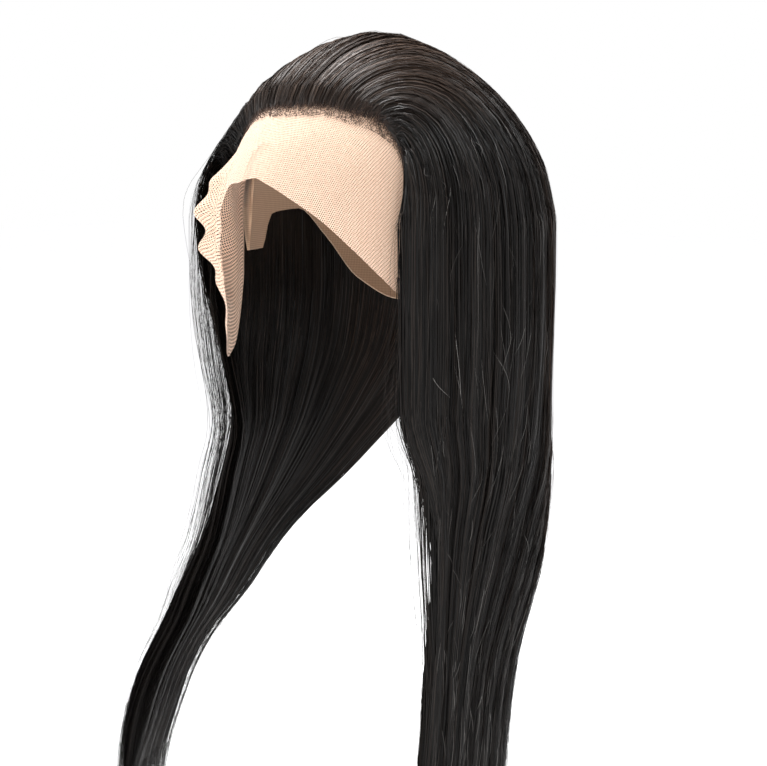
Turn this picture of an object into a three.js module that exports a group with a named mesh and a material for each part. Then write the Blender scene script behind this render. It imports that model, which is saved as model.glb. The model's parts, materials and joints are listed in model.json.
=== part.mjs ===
// A lace front wig: a soft cap with a strip of lace along its front, and long straight hair
// that is combed back from the lace, covers the cap and hangs over both shoulders.
// Millimetres, +Z up. The origin is the top of the hollow, where the crown of a head rests.
// The face side looks along -Y and the wearer's left is +X.

import * as THREE from 'three';

// The hollow that a head fills, an ellipsoid whose widest level lies WIDEST_DROP below the top
const HEAD_HALF_BREADTH = 76;
const HEAD_HALF_LENGTH = 96;
const WIDEST_DROP = 92;

// Cloth
const CAP_WALL = 1.5;
const LACE_WALL = 1;
const GAP = 0.3;
// Hair stands off the cap, so that its flat facets stay clear of the cap's curve
const HAIR_CLEARANCE = 1.8;
const LACE_LIFT = 0.7;
const RUFFLE_START = 50;
const RUFFLE_END = 100;
const RUFFLE_HEIGHT = 15.5;
const RUFFLE_WAVE = 3.2;
const RUFFLE_PITCH = 21;

// Hair
const HAIR_HALF_BREADTH = 97;
const FRONT_REACH = 112;
const HAIR_OVER_CROWN = 11.3;
const DOME_POWER = 1.7;
const FALL_LENGTH = 383;
const FALL_THICKNESS = 15;
const TIP_THICKNESS = 3.5;
const HAIRLINE_THICKNESS = 1.2;
const LOCK_DEPTH = 2.2;
const LOCKS_A_SIDE = 7;
const TIP_UNEVENNESS = 9;

// How finely the surfaces are divided
const COLUMNS_A_LOCK = 10;
const FALLS_A_SIDE = 3;

const DEG = Math.PI / 180;
const CENTRE = new THREE.Vector3(0, 0, -WIDEST_DROP);

// Angles run round the head from the middle of the face, and down from the crown, in degrees.
// The edge of the hair above the face, the same on both sides
const HAIRLINE = [
  { round: 0, down: 50.5 },
  { round: 14, down: 50.5 },
  { round: 24, down: 51.5 },
  { round: 33, down: 53.5 },
  { round: 42, down: 56.5 },
  { round: 48, down: 61 },
  { round: 52, down: 66 },
  { round: 54, down: 74 },
];

// The edge of the cap behind the lace, over the ear and round to the nape
const CAP_EDGE = [
  { round: 0, down: 36 },
  { round: 30, down: 39 },
  { round: 50, down: 50 },
  { round: 66, down: 64 },
  { round: 67.5, down: 103 },
  { round: 77, down: 103 },
  { round: 86, down: 90 },
  { round: 100, down: 89 },
  { round: 112, down: 100 },
  { round: 125, down: 117 },
  { round: 145, down: 127 },
  { round: 180, down: 129 },
];

// The free edge of the lace. The wearer's right is negative, and drop is a share of
// WIDEST_DROP below the top. Lift is the ruffle, a share of RUFFLE_HEIGHT.
const LACE_EDGE = [
  { round: -65, drop: 1.5, lift: 0 },
  { round: -61, drop: 1.68, lift: 0 },
  { round: -56, drop: 1.82, lift: 0.6 },
  { round: -50, drop: 1.87, lift: 1 },
  { round: -44, drop: 1.82, lift: 1 },
  { round: -39.5, drop: 1.6, lift: 0.38 },
  { round: -37, drop: 1.1, lift: 0.25 },
  { round: -34, drop: 0.84, lift: 0.15 },
  { round: -27, drop: 0.79, lift: 0.05 },
  { round: -20, drop: 0.78, lift: 0 },
  { round: -7, drop: 0.75, lift: 0 },
  { round: 0, drop: 0.78, lift: 0 },
  { round: 8, drop: 0.83, lift: 0 },
  { round: 22, drop: 0.95, lift: 0 },
  { round: 36, drop: 1.14, lift: 0 },
  { round: 46, drop: 1.3, lift: 0 },
  { round: 54, drop: 1.42, lift: 0 },
  { round: 65, drop: 1.5, lift: 0 },
];

// The hanging hair of each side, level by level. Drop is a share of FALL_LENGTH below the
// widest level. Front and back are the angles of its two edges from the middle of the face.
// The three radii are shares of HAIR_HALF_BREADTH, at the front edge, half way and at the back.
const LEFT_FALL = [
  { drop: 0, front: 44, back: 180, rFront: 0.99, rMiddle: 1.02, rBack: 1.206 },
  { drop: 0.125, front: 44, back: 180, rFront: 0.99, rMiddle: 1.03, rBack: 1.165 },
  { drop: 0.256, front: 44, back: 172, rFront: 1, rMiddle: 1.03, rBack: 1.07 },
  { drop: 0.36, front: 50, back: 150, rFront: 0.99, rMiddle: 1.04, rBack: 1.07 },
  { drop: 0.44, front: 51, back: 128, rFront: 0.99, rMiddle: 1.04, rBack: 1.03 },
  { drop: 0.512, front: 52, back: 115, rFront: 0.99, rMiddle: 1.03, rBack: 1.03 },
  { drop: 0.58, front: 53, back: 104, rFront: 0.99, rMiddle: 1.01, rBack: 1 },
  { drop: 0.648, front: 53.5, back: 96, rFront: 0.99, rMiddle: 1, rBack: 0.98 },
  { drop: 0.726, front: 53, back: 92, rFront: 0.99, rMiddle: 1, rBack: 0.98 },
  { drop: 0.859, front: 51, back: 90, rFront: 0.99, rMiddle: 1, rBack: 0.98 },
  { drop: 1, front: 53, back: 87, rFront: 0.99, rMiddle: 1, rBack: 0.98 },
];
const RIGHT_FALL = [
  { drop: 0, front: 55, back: 180, rFront: 1.11, rMiddle: 1.04, rBack: 1.206 },
  { drop: 0.1, front: 55, back: 180, rFront: 1.1, rMiddle: 1.04, rBack: 1.175 },
  { drop: 0.204, front: 55, back: 176, rFront: 1.055, rMiddle: 1.03, rBack: 1.09 },
  { drop: 0.329, front: 56, back: 156, rFront: 0.985, rMiddle: 1.02, rBack: 1.05 },
  { drop: 0.4, front: 56, back: 140, rFront: 1.045, rMiddle: 1.05, rBack: 1.03 },
  { drop: 0.467, front: 56, back: 124, rFront: 1.103, rMiddle: 1.1, rBack: 1.06 },
  { drop: 0.517, front: 55, back: 110, rFront: 1.155, rMiddle: 1.14, rBack: 1.1 },
  { drop: 0.572, front: 54, back: 98, rFront: 1.247, rMiddle: 1.21, rBack: 1.155 },
  { drop: 0.634, front: 53, back: 90, rFront: 1.34, rMiddle: 1.3, rBack: 1.24 },
  { drop: 0.723, front: 52, back: 80, rFront: 1.515, rMiddle: 1.48, rBack: 1.44 },
  { drop: 0.804, front: 51, back: 75, rFront: 1.62, rMiddle: 1.59, rBack: 1.55 },
  { drop: 0.885, front: 51, back: 73, rFront: 1.67, rMiddle: 1.64, rBack: 1.6 },
  { drop: 1, front: 51, back: 72, rFront: 1.68, rMiddle: 1.65, rBack: 1.62 },
];
const SIDES = {
  left: { sign: 1, rows: LEFT_FALL, phase: 0.4 },
  right: { sign: -1, rows: RIGHT_FALL, phase: 2.1 },
};

const mix = (a, b, k) => a + (b - a) * k;
const smooth = (k) => {
  const c = Math.min(1, Math.max(0, k));
  return c * c * (3 - 2 * c);
};

// The value in a table's column at a key, eased through the rows so that edges don't kink
function read(rows, key, at, column) {
  const last = rows.length - 1;
  let i = 0;
  while (i < last - 1 && at > rows[i + 1][key]) i += 1;
  const [x0, x1] = [rows[i][key], rows[i + 1][key]];
  const k = Math.min(1, Math.max(0, (at - x0) / (x1 - x0)));
  const [y0, y1] = [rows[i][column], rows[i + 1][column]];
  const slope = (j) => {
    if (j < 1 || j > last - 1) return null;
    const d0 = (rows[j][column] - rows[j - 1][column]) / (rows[j][key] - rows[j - 1][key]);
    const d1 = (rows[j + 1][column] - rows[j][column]) / (rows[j + 1][key] - rows[j][key]);
    return d0 * d1 <= 0 ? 0 : (2 * d0 * d1) / (d0 + d1);
  };
  const straight = (y1 - y0) / (x1 - x0);
  const m0 = (slope(i) ?? straight) * (x1 - x0);
  const m1 = (slope(i + 1) ?? straight) * (x1 - x0);
  const k2 = k * k;
  const k3 = k2 * k;
  return y0 * (2 * k3 - 3 * k2 + 1) + m0 * (k3 - 2 * k2 + k)
    + y1 * (3 * k2 - 2 * k3) + m1 * (k3 - k2);
}

// A point of the head's surface, or off it by a clearance
function onHead(round, down, off = 0) {
  const [u, t] = [round * DEG, down * DEG];
  return new THREE.Vector3(
    (HEAD_HALF_BREADTH + off) * Math.sin(t) * Math.sin(u),
    -(HEAD_HALF_LENGTH + off) * Math.sin(t) * Math.cos(u),
    (WIDEST_DROP + off) * Math.cos(t) - WIDEST_DROP,
  );
}

// One closed body from a grid of outer points and a grid of inner points. A grid is a list of
// rows of equal length. Wrapped, its columns close on themselves, and a pole closes row 0.
function shell(outer, inner, { wrapped = false, pole = false } = {}) {
  const [rows, columns] = [outer.length, outer[0].length];
  const position = [];
  const index = [];
  const start = [0, 0];
  const at = (layer, r, c) => {
    if (pole && r === 0) return start[layer];
    return start[layer] + (pole ? 1 + (r - 1) * columns : r * columns) + (c % columns);
  };
  [outer, inner].forEach((grid, layer) => {
    start[layer] = position.length / 3;
    grid.forEach((row, r) => {
      const points = pole && r === 0 ? [row[0]] : row;
      points.forEach((p) => position.push(p.x, p.y, p.z));
    });
  });
  const triangle = (a, b, c) => {
    if (a !== b && b !== c && c !== a) index.push(a, b, c);
  };
  const quad = (a, b, c, d) => {
    triangle(a, b, c);
    triangle(a, c, d);
  };
  const across = wrapped ? columns : columns - 1;
  for (let r = 0; r < rows - 1; r += 1) {
    for (let c = 0; c < across; c += 1) {
      quad(at(0, r, c), at(0, r + 1, c), at(0, r + 1, c + 1), at(0, r, c + 1));
      quad(at(1, r, c), at(1, r, c + 1), at(1, r + 1, c + 1), at(1, r + 1, c));
    }
  }
  const bottom = rows - 1;
  for (let c = 0; c < across; c += 1) {
    quad(at(0, bottom, c), at(1, bottom, c), at(1, bottom, c + 1), at(0, bottom, c + 1));
    if (!pole) quad(at(0, 0, c), at(0, 0, c + 1), at(1, 0, c + 1), at(1, 0, c));
  }
  for (let r = 0; r < bottom && !wrapped; r += 1) {
    const e = columns - 1;
    quad(at(0, r, 0), at(1, r, 0), at(1, r + 1, 0), at(0, r + 1, 0));
    quad(at(0, r, e), at(0, r + 1, e), at(1, r + 1, e), at(1, r, e));
  }
  const geometry = new THREE.BufferGeometry();
  geometry.setAttribute('position', new THREE.Float32BufferAttribute(position, 3));
  geometry.setIndex(index);
  return geometry;
}

// The two faces of a wall of cloth, either side of a grid of points
function wall(middle, thickness) {
  const step = (r, c) => middle[Math.min(middle.length - 1, Math.max(0, r))][
    Math.min(middle[0].length - 1, Math.max(0, c))];
  const side = (sign) => middle.map((row, r) => row.map((p, c) => {
    const down = step(r + 1, c).clone().sub(step(r - 1, c));
    const across = step(r, c + 1).clone().sub(step(r, c - 1));
    return p.clone().addScaledVector(down.cross(across).normalize(), sign * thickness / 2);
  }));
  return [side(1), side(-1)];
}

// How far round a side hair hangs: share 0 is its front edge and 1 its back edge
const roundAt = (side, drop, share) =>
  mix(read(side.rows, 'drop', drop, 'front'), read(side.rows, 'drop', drop, 'back'), share);

function radiusAt(side, drop, share) {
  const [f, m, b] = ['rFront', 'rMiddle', 'rBack'].map((name) => read(side.rows, 'drop', drop, name));
  const curve = f * (1 - share) * (1 - 2 * share) + m * 4 * share * (1 - share)
    + b * share * (2 * share - 1);
  return HAIR_HALF_BREADTH * curve;
}

// The waves of the locks across a side
function lockWave(side, share, along) {
  const turn = 2 * Math.PI * LOCKS_A_SIDE * share;
  return 0.65 * Math.sin(turn + side.phase + 0.9 * Math.sin(4.1 * along + side.phase))
    + 0.35 * Math.sin(0.52 * turn + 3 * along - side.phase);
}

// The outline of the hair at the widest level, where the hair above meets the hanging hair
function widestRadius(side, round) {
  const front = side.rows[0].front;
  if (round >= front) return radiusAt(side, 0, (round - front) / (180 - front));
  return mix(FRONT_REACH, radiusAt(side, 0, 0), smooth(round / front));
}

// The path of a lock over the head, from the hairline back and then down to the widest level.
// It returns a unit vector, the place on the head as a share of its three half sizes.
function overHead(side, share, along) {
  const rootRound = mix(HAIRLINE[HAIRLINE.length - 1].round, 0, Math.pow(share, 0.8));
  const rootDown = read(HAIRLINE, 'round', rootRound, 'down');
  const land = roundAt(side, 0, share) * DEG;
  const landAt = Math.atan2(Math.sin(land) / HEAD_HALF_BREADTH, Math.cos(land) / HEAD_HALF_LENGTH);
  const reach = Math.sin(rootDown * DEG);
  const root = new THREE.Vector2(
    Math.sin(rootRound * DEG), Math.cos(rootRound * DEG)).multiplyScalar(reach);
  const end = new THREE.Vector2(Math.sin(landAt), Math.cos(landAt));
  const far = root.distanceTo(end);
  const first = root.clone().add(new THREE.Vector2(0, -0.36 * far));
  const second = end.clone().multiplyScalar(1 - 0.3 * far);
  const path = new THREE.CubicBezierCurve(root, first, second, end).getPoint(along);
  const flat = Math.min(1, path.length());
  return new THREE.Vector3(path.x, -path.y, Math.sqrt(1 - flat * flat));
}

// Both faces of the hair over the head at one place, the inner one clear of the cap
function crownPair(side, share, along) {
  const unit = overHead(side, share, along);
  const off = CAP_WALL + HAIR_CLEARANCE;
  const inner = new THREE.Vector3(
    side.sign * unit.x * (HEAD_HALF_BREADTH + off),
    unit.y * (HEAD_HALF_LENGTH + off),
    unit.z * (WIDEST_DROP + off),
  );
  const round = Math.atan2(Math.abs(inner.x), -inner.y) / DEG;
  const spread = Math.hypot(inner.x, inner.y) / widestRadius(side, round);
  const rise = inner.z / (WIDEST_DROP + HAIR_OVER_CROWN);
  const full = Math.pow(
    Math.pow(spread, DOME_POWER) + Math.pow(rise, DOME_POWER), -1 / DOME_POWER);
  const thick = inner.length() * (full - 1);
  const back = Math.min(1, along / mix(0.9, 0.2, smooth(share * 3)));
  const root = share > 0.02 || along < 1 ? Math.sqrt(1 - (1 - back) * (1 - back)) : 1;
  const low = smooth((along - 0.55) / 0.45);
  const lip = mix(root, 1, low);
  const wave = LOCK_DEPTH * lockWave(side, share, 0) * mix(0.2, 1, along * along) * lip;
  const grown = mix(HAIRLINE_THICKNESS, thick, lip) + wave;
  const outer = inner.clone().setLength(inner.length() + Math.max(HAIRLINE_THICKNESS, grown));
  return [outer.add(CENTRE), inner.add(CENTRE)];
}

// Both faces of the hanging hair of a side at one place
function fallPair(side, share, drop) {
  const round = roundAt(side, drop, share) * DEG;
  const out = radiusAt(side, drop, share)
    + LOCK_DEPTH * mix(1, 0.6, drop) * lockWave(side, share, drop);
  const widest = roundAt(side, 0, share) * DEG;
  const capAt = Math.atan2(Math.sin(widest) / HEAD_HALF_BREADTH, Math.cos(widest) / HEAD_HALF_LENGTH);
  const cap = Math.hypot(
    Math.sin(capAt) * (HEAD_HALF_BREADTH + CAP_WALL + HAIR_CLEARANCE),
    Math.cos(capAt) * (HEAD_HALF_LENGTH + CAP_WALL + HAIR_CLEARANCE));
  const top = out - cap;
  const body = mix(FALL_THICKNESS, TIP_THICKNESS, smooth((drop - 0.8) / 0.2));
  const thick = mix(top, body, smooth((drop - 0.12) / 0.2));
  const uneven = 1 + (TIP_UNEVENNESS / FALL_LENGTH) * Math.pow(drop, 6)
    * (Math.sin(23 * share + side.phase) + 0.6 * Math.sin(61 * share));
  const z = -WIDEST_DROP - GAP - drop * uneven * FALL_LENGTH;
  const place = (r) => new THREE.Vector3(side.sign * r * Math.sin(round), -r * Math.cos(round), z);
  return [place(out), place(out - thick)];
}

// A grid of points over steps across and steps down, split into its outer and inner faces
function pairGrid(pair, across, down) {
  const grid = down.map((d) => across.map((s) => pair(s, d)));
  return [grid.map((row) => row.map((p) => p[0])), grid.map((row) => row.map((p) => p[1]))];
}
const steps = (from, to, count) =>
  Array.from({ length: count + 1 }, (_, i) => mix(from, to, i / count));

// A soft cap in one piece, with tabs in front of the ears
function cap() {
  const rounds = [0, 10, 20, 30, 40, 50, 58, 66, 67.5, 72, 77, 82, 86, 93, 100, 106, 112, 118,
    125, 135, 145, 156, 168];
  const full = [...rounds, 180, ...rounds.slice(1).reverse().map((r) => 360 - r)];
  const downs = [0, 0.12, 0.26, 0.4, 0.54, 0.67, 0.79, 0.9, 1];
  const grid = (off) => downs.map((d) => full.map((r) => {
    const edge = read(CAP_EDGE, 'round', r > 180 ? 360 - r : r, 'down');
    return onHead(r, d * edge, off);
  }));
  return shell(grid(CAP_WALL), grid(0), { wrapped: true, pole: true });
}

// The lace from the front edge of the cap over the forehead, with its ruffle on one side
function laceFront() {
  const rounds = steps(-65, 65, 52);
  const downs = steps(0, 1, 8);
  const middle = downs.map((d) => rounds.map((r) => {
    const top = read(CAP_EDGE, 'round', Math.abs(r), 'down') + 0.9;
    const edge = read(LACE_EDGE, 'round', r, 'drop') * WIDEST_DROP;
    const arc = (Math.min(1, edge / WIDEST_DROP) < 1
      ? Math.acos(1 - edge / WIDEST_DROP) : Math.PI / 2) / DEG;
    const over = (arc - top) * DEG * HEAD_HALF_LENGTH;
    const below = Math.max(0, edge - WIDEST_DROP);
    const run = d * (over + below);
    const down = Math.min(arc, top + (arc - top) * run / over);
    const hang = Math.max(0, run - over);
    const point = onHead(r, down, LACE_LIFT);
    point.z -= hang;
    const fallen = -point.z;
    const start = RUFFLE_START + 3.5 * Math.max(0, -r - 46);
    const lift = read(LACE_EDGE, 'round', r, 'lift') * smooth((fallen - start) / 34)
      * mix(1, 0.1, smooth((fallen - RUFFLE_END) / 45));
    const wave = Math.sin(2 * Math.PI * (fallen - 76) / RUFFLE_PITCH + r * 0.05);
    const out = lift * RUFFLE_HEIGHT + (lift > 0 ? lift * RUFFLE_WAVE * wave : 0);
    const outward = new THREE.Vector3(point.x, point.y, 0).normalize();
    return point.addScaledVector(outward, out);
  }));
  return shell(...wall(middle, LACE_WALL));
}

// The hair over the head, both sides in one, between two places along its locks
function crownHair(from, to, count) {
  const shares = steps(0, 1, FALLS_A_SIDE * COLUMNS_A_LOCK);
  const alongs = steps(from, to, count);
  const left = pairGrid((s, a) => crownPair(SIDES.left, s, a), shares, alongs);
  const right = pairGrid((s, a) => crownPair(SIDES.right, s, a), shares, alongs);
  const joined = [0, 1].map((face) => left[face].map((row, r) => {
    const other = right[face][r].slice(0, -1).reverse();
    const end = row[row.length - 1];
    const across = right[face][r][shares.length - 1];
    const middle = end.clone().add(across).multiplyScalar(0.5);
    middle.x = 0;
    return [...row.slice(0, -1), middle, ...other];
  }));
  return shell(...joined);
}

// One hanging section of hair, from the widest level to the tips
function fall(side, number) {
  const clear = GAP / 2 / (2.2 * HAIR_HALF_BREADTH);
  const shares = steps(number / FALLS_A_SIDE + clear, (number + 1) / FALLS_A_SIDE - clear,
    COLUMNS_A_LOCK);
  const drops = steps(0, 1, 13);
  const [outer, inner] = pairGrid((s, d) => fallPair(side, s, d), shares, drops);
  const turn = (grid) => (side.sign > 0 ? grid : grid.map((row) => row.reverse()));
  return shell(turn(outer), turn(inner));
}

const HAIR = new THREE.MeshStandardMaterial({ color: '#1d1a19', roughness: 0.5 });
const LACE = new THREE.MeshStandardMaterial({ color: '#e4cdb4', roughness: 0.9 });
const CAP = new THREE.MeshStandardMaterial({ color: '#c9a98a', roughness: 0.9 });

const wig = new THREE.Group();
wig.name = 'lace_front_wig';
function add(name, geometry, material) {
  const mesh = new THREE.Mesh(geometry, material.clone());
  mesh.name = name;
  wig.add(mesh);
}

add('cap', cap(), CAP);
add('lace_front', laceFront(), LACE);
add('front_hair', crownHair(0, 0.34, 5), HAIR);
add('crown_hair', crownHair(0.343, 1, 11), HAIR);
['front', 'side', 'back'].forEach((place, number) => {
  add(`left_${place}_fall`, fall(SIDES.left, number), HAIR);
  add(`right_${place}_fall`, fall(SIDES.right, number), HAIR);
});

export default wig;
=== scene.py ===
# %% [markdown]
# # A lace front wig
# A lace front wig is a soft cap with a strip of fine net along its front. Single hairs are
# knotted into that net, so that the hairline looks grown, and the rest of the cap carries rows
# of sewn hair. Here the hair is long, straight and black. It is combed back from the forehead,
# covers the cap and comes forward over both shoulders.
#
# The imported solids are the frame. Every piece below is made around them, in metres, with +Z up,
# the face side towards -Y and the wearer's left towards +X.

import math

import bpy
import numpy as np
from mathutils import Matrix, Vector
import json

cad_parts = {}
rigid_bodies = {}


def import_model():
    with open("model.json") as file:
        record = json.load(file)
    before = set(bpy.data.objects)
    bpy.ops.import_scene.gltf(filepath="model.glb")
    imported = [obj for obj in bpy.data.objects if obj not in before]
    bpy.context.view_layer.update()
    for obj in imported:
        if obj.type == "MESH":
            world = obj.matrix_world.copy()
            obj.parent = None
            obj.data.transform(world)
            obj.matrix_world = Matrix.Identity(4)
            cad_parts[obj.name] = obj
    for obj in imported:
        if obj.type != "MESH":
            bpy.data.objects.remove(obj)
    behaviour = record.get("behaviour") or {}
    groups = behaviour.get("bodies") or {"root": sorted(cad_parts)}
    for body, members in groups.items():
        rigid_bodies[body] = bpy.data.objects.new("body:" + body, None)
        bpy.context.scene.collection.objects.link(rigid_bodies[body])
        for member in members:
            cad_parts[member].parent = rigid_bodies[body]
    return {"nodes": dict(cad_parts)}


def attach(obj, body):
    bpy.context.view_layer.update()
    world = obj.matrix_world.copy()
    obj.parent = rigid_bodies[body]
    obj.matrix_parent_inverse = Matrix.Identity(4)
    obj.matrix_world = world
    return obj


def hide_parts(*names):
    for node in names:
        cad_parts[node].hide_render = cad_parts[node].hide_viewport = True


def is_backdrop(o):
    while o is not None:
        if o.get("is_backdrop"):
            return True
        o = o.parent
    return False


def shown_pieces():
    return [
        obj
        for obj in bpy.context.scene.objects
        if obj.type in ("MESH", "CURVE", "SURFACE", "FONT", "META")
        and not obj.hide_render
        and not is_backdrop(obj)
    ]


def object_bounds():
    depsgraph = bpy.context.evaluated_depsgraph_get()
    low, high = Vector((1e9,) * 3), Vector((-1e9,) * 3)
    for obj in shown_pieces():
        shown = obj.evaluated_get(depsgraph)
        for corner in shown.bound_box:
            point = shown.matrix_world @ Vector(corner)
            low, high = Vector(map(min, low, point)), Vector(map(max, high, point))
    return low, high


for leftover in list(bpy.data.objects):
    bpy.data.objects.remove(leftover)
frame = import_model()
cad_low, cad_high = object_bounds()
print("solids:", sorted(frame["nodes"]))
print("their box in metres:", [round(v, 3) for v in (*cad_low, *cad_high)])

# %% [markdown]
# ## The camera comes first
# A likeness depends on the view more than on anything else, so the camera is set before any
# piece. The picture was taken about 0.8 m away, a little above the forehead, turned 38 degrees
# to the wearer's left. The lens is worked out from the picture's width and the width that it
# sees at that distance.

# %% Camera
PICTURE = (767, 766)
TURNED, RAISED, AWAY = math.radians(38), math.radians(10), 0.8
PIXELS_PER_RADIAN = 1356
LOOKED_AT = (0.0024, 0.0019, -0.19)


def point_at(thing, place, aim):
    """Puts a camera or a lamp at a place and turns it towards another."""
    thing.location = place
    thing.rotation_mode = "QUATERNION"
    thing.rotation_quaternion = (Vector(aim) - Vector(place)).to_track_quat("-Z", "Y")
    bpy.context.collection.objects.link(thing)


def make_camera():
    level = math.cos(RAISED)
    back = Vector((math.sin(TURNED) * level, -math.cos(TURNED) * level, math.sin(RAISED)))
    data = bpy.data.cameras.new("camera")
    data.sensor_width = 36
    data.lens = data.sensor_width * PIXELS_PER_RADIAN / PICTURE[0]
    camera = bpy.data.objects.new("camera", data)
    point_at(camera, Vector(LOOKED_AT) + back * AWAY, LOOKED_AT)
    bpy.context.scene.camera = camera
    return camera


camera = make_camera()
print("camera at", [round(v, 3) for v in camera.location], "lens", round(camera.data.lens, 1))

# %% [markdown]
# ## Shader maths in plain Python
# Finishes are easier to read as expressions than as lists of nodes. A small class wraps a
# socket, so that adding or multiplying two of them adds the Math node behind the scenes.


# %% A socket that can be added and multiplied
def operator(what):
    """A method that adds a Math node for one operation."""
    return lambda self, *others: self.maths(what, *others)


class Flow:
    def __init__(self, tree, socket):
        self.tree, self.socket = tree, socket

    def node(self, kind, settings=(), out=0, **values):
        """Adds a node. Its sockets are named, or numbered as in _0."""
        made = self.tree.nodes.new(kind)
        for name, value in dict(settings).items():
            setattr(made, name, value)
        for name, value in values.items():
            slot = made.inputs[int(name[1:]) if name[0] == "_" else name.replace("_", " ")]
            if isinstance(value, Flow):
                self.tree.links.new(value.socket, slot)
            else:
                slot.default_value = value
        return Flow(self.tree, made.outputs[out])

    def maths(self, what, *others):
        values = {f"_{i}": v for i, v in enumerate((self, *others))}
        return self.node("ShaderNodeMath", {"operation": what}, **values)

    __add__ = __radd__ = operator("ADD")
    __mul__ = __rmul__ = operator("MULTIPLY")
    __sub__, __mod__ = operator("SUBTRACT"), operator("FLOORED_MODULO")
    __gt__, __lt__ = operator("GREATER_THAN"), operator("LESS_THAN")
    __abs__, larger = operator("ABSOLUTE"), operator("MAXIMUM")

    def __rsub__(self, other):
        return self.node("ShaderNodeMath", {"operation": "SUBTRACT"}, _0=other, _1=self)

    def parts(self):
        """The three numbers of a place."""
        made = self.node("ShaderNodeSeparateXYZ", _0=self).socket.node
        return [Flow(self.tree, socket) for socket in made.outputs]

    def blend(self, low, high):
        """A colour between two, by this share."""
        return self.node("ShaderNodeMix", {"data_type": "RGBA"}, out=2, _0=self, _6=low, _7=high)

    def eased(self, low, high, first=0.0, last=1.0):
        """A soft step from first to last, as this goes from low to high."""
        settings = {"interpolation_type": "SMOOTHSTEP"}
        values = {"_0": self, "_1": low, "_2": high, "_3": first, "_4": last}
        return self.node("ShaderNodeMapRange", settings, **values)


def new_finish(name, **fixed):
    """A Principled finish with values that are the same all over, and a Flow to start from."""
    finish = bpy.data.materials.new(name)
    finish.use_nodes = True
    shader = finish.node_tree.nodes["Principled BSDF"]
    for socket, value in fixed.items():
        shader.inputs[socket.replace("_", " ")].default_value = value
    return finish, shader, Flow(finish.node_tree, None)


def run_of(start):
    """The two numbers that every piece here carries on its points."""
    return start.node("ShaderNodeUVMap", {"uv_map": "Run"}).parts()[:2]


def feed(finish, shader, **links):
    for socket, value in links.items():
        slot = shader.inputs[socket.replace("_", " ")]
        finish.node_tree.links.new(value.socket, slot)
    print("finish made:", finish.name)
    return finish


print("helpers ready: Flow, new_finish, run_of, feed")

# %% [markdown]
# ## Sky and lamps
# Black hair shows mostly by what it reflects. A white room all round would turn it grey, so
# only the low band of the sky, which stands behind the wig, is white, and it darkens upwards.
# A large soft lamp above gives the sheen on the crown, and one in front lights the face side.
# A weak one at the side and one behind keep the far locks apart.


# %% Sky and lamps
def make_lamp(name, place, aim, size, watts):
    data = bpy.data.lights.new(name, "AREA")
    data.shape, data.size, data.energy = "DISK", size, watts
    point_at(bpy.data.objects.new(name, data), place, aim)


make_lamp("top_lamp", (-0.3, 0.12, 1.15), (0, 0, -0.05), 0.8, 33)
make_lamp("key_lamp", (-0.45, -1.35, 0.65), (0, 0, -0.12), 0.9, 20)
make_lamp("side_lamp", (1.5, -0.7, 0.35), (0, 0, -0.25), 0.8, 5)
make_lamp("back_lamp", (0.8, 1.05, 1.05), (0, 0, -0.12), 0.8, 14)


SKY_BAND = (0.13, 0.4)


def make_sky():
    world = bpy.data.worlds.new("sky")
    world.use_nodes = True
    start = Flow(world.node_tree, None)
    height = start.node("ShaderNodeTexCoord").parts()[2]
    climb = start.node("ShaderNodeMapRange", _0=height, _1=SKY_BAND[0], _2=SKY_BAND[1])
    tone = climb.blend((1, 1, 1, 1), (0.26, 0.26, 0.27, 1))
    start.tree.links.new(tone.socket, start.tree.nodes["Background"].inputs["Color"])
    return world


bpy.context.scene.world = make_sky()
bpy.context.scene.view_settings.view_transform = "Standard"

# %% [markdown]
# ## The finish of the hair
# Natural black hair is a very dark brown. Most single hairs look black, some brown, and a few are
# painted pale grey as painted glints. Where light comes through, over the crown and towards the
# back, all of them are painted browner, a painted backlight and sheen. Each strand below carries a
# chance number, and the finish turns that number into its own tone, so that thousands of strands
# share one material.


# %% Strand finish
BLACK, SOFT_BLACK = (0.0045, 0.0039, 0.0036, 1), (0.024, 0.0185, 0.0155, 1)
# Painted backlight and sheen: these two browns are the hair's tone where light comes through.
DARK_BROWN, BROWN = (0.038, 0.0235, 0.0165, 1), (0.13, 0.08, 0.055, 1)
# Painted highlight: the pale tones of the painted glints.
DIM_GLINT_TONE, BRIGHT_GLINT_TONE = (0.04, 0.036, 0.033, 1), (0.21, 0.2, 0.19, 1)
PAINTED_GLINT_FROM, MOST_PAINTED_BACKLIGHT = 0.985, 0.82


def painted_backlight_and_sheen(start):
    """How much painted backlight and sheen a place gets: most over the crown, some at the back."""
    x, y, z = start.node("ShaderNodeTexCoord", out=3).parts()
    back = (abs(x) * 0.62 + y * 0.78).larger(0.0)
    up = (z + 0.092).larger(0.0)
    rim = (back * back + up * up).eased(0.0055, 0.012)
    return rim.larger(z.eased(-0.05, 0.01))


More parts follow.
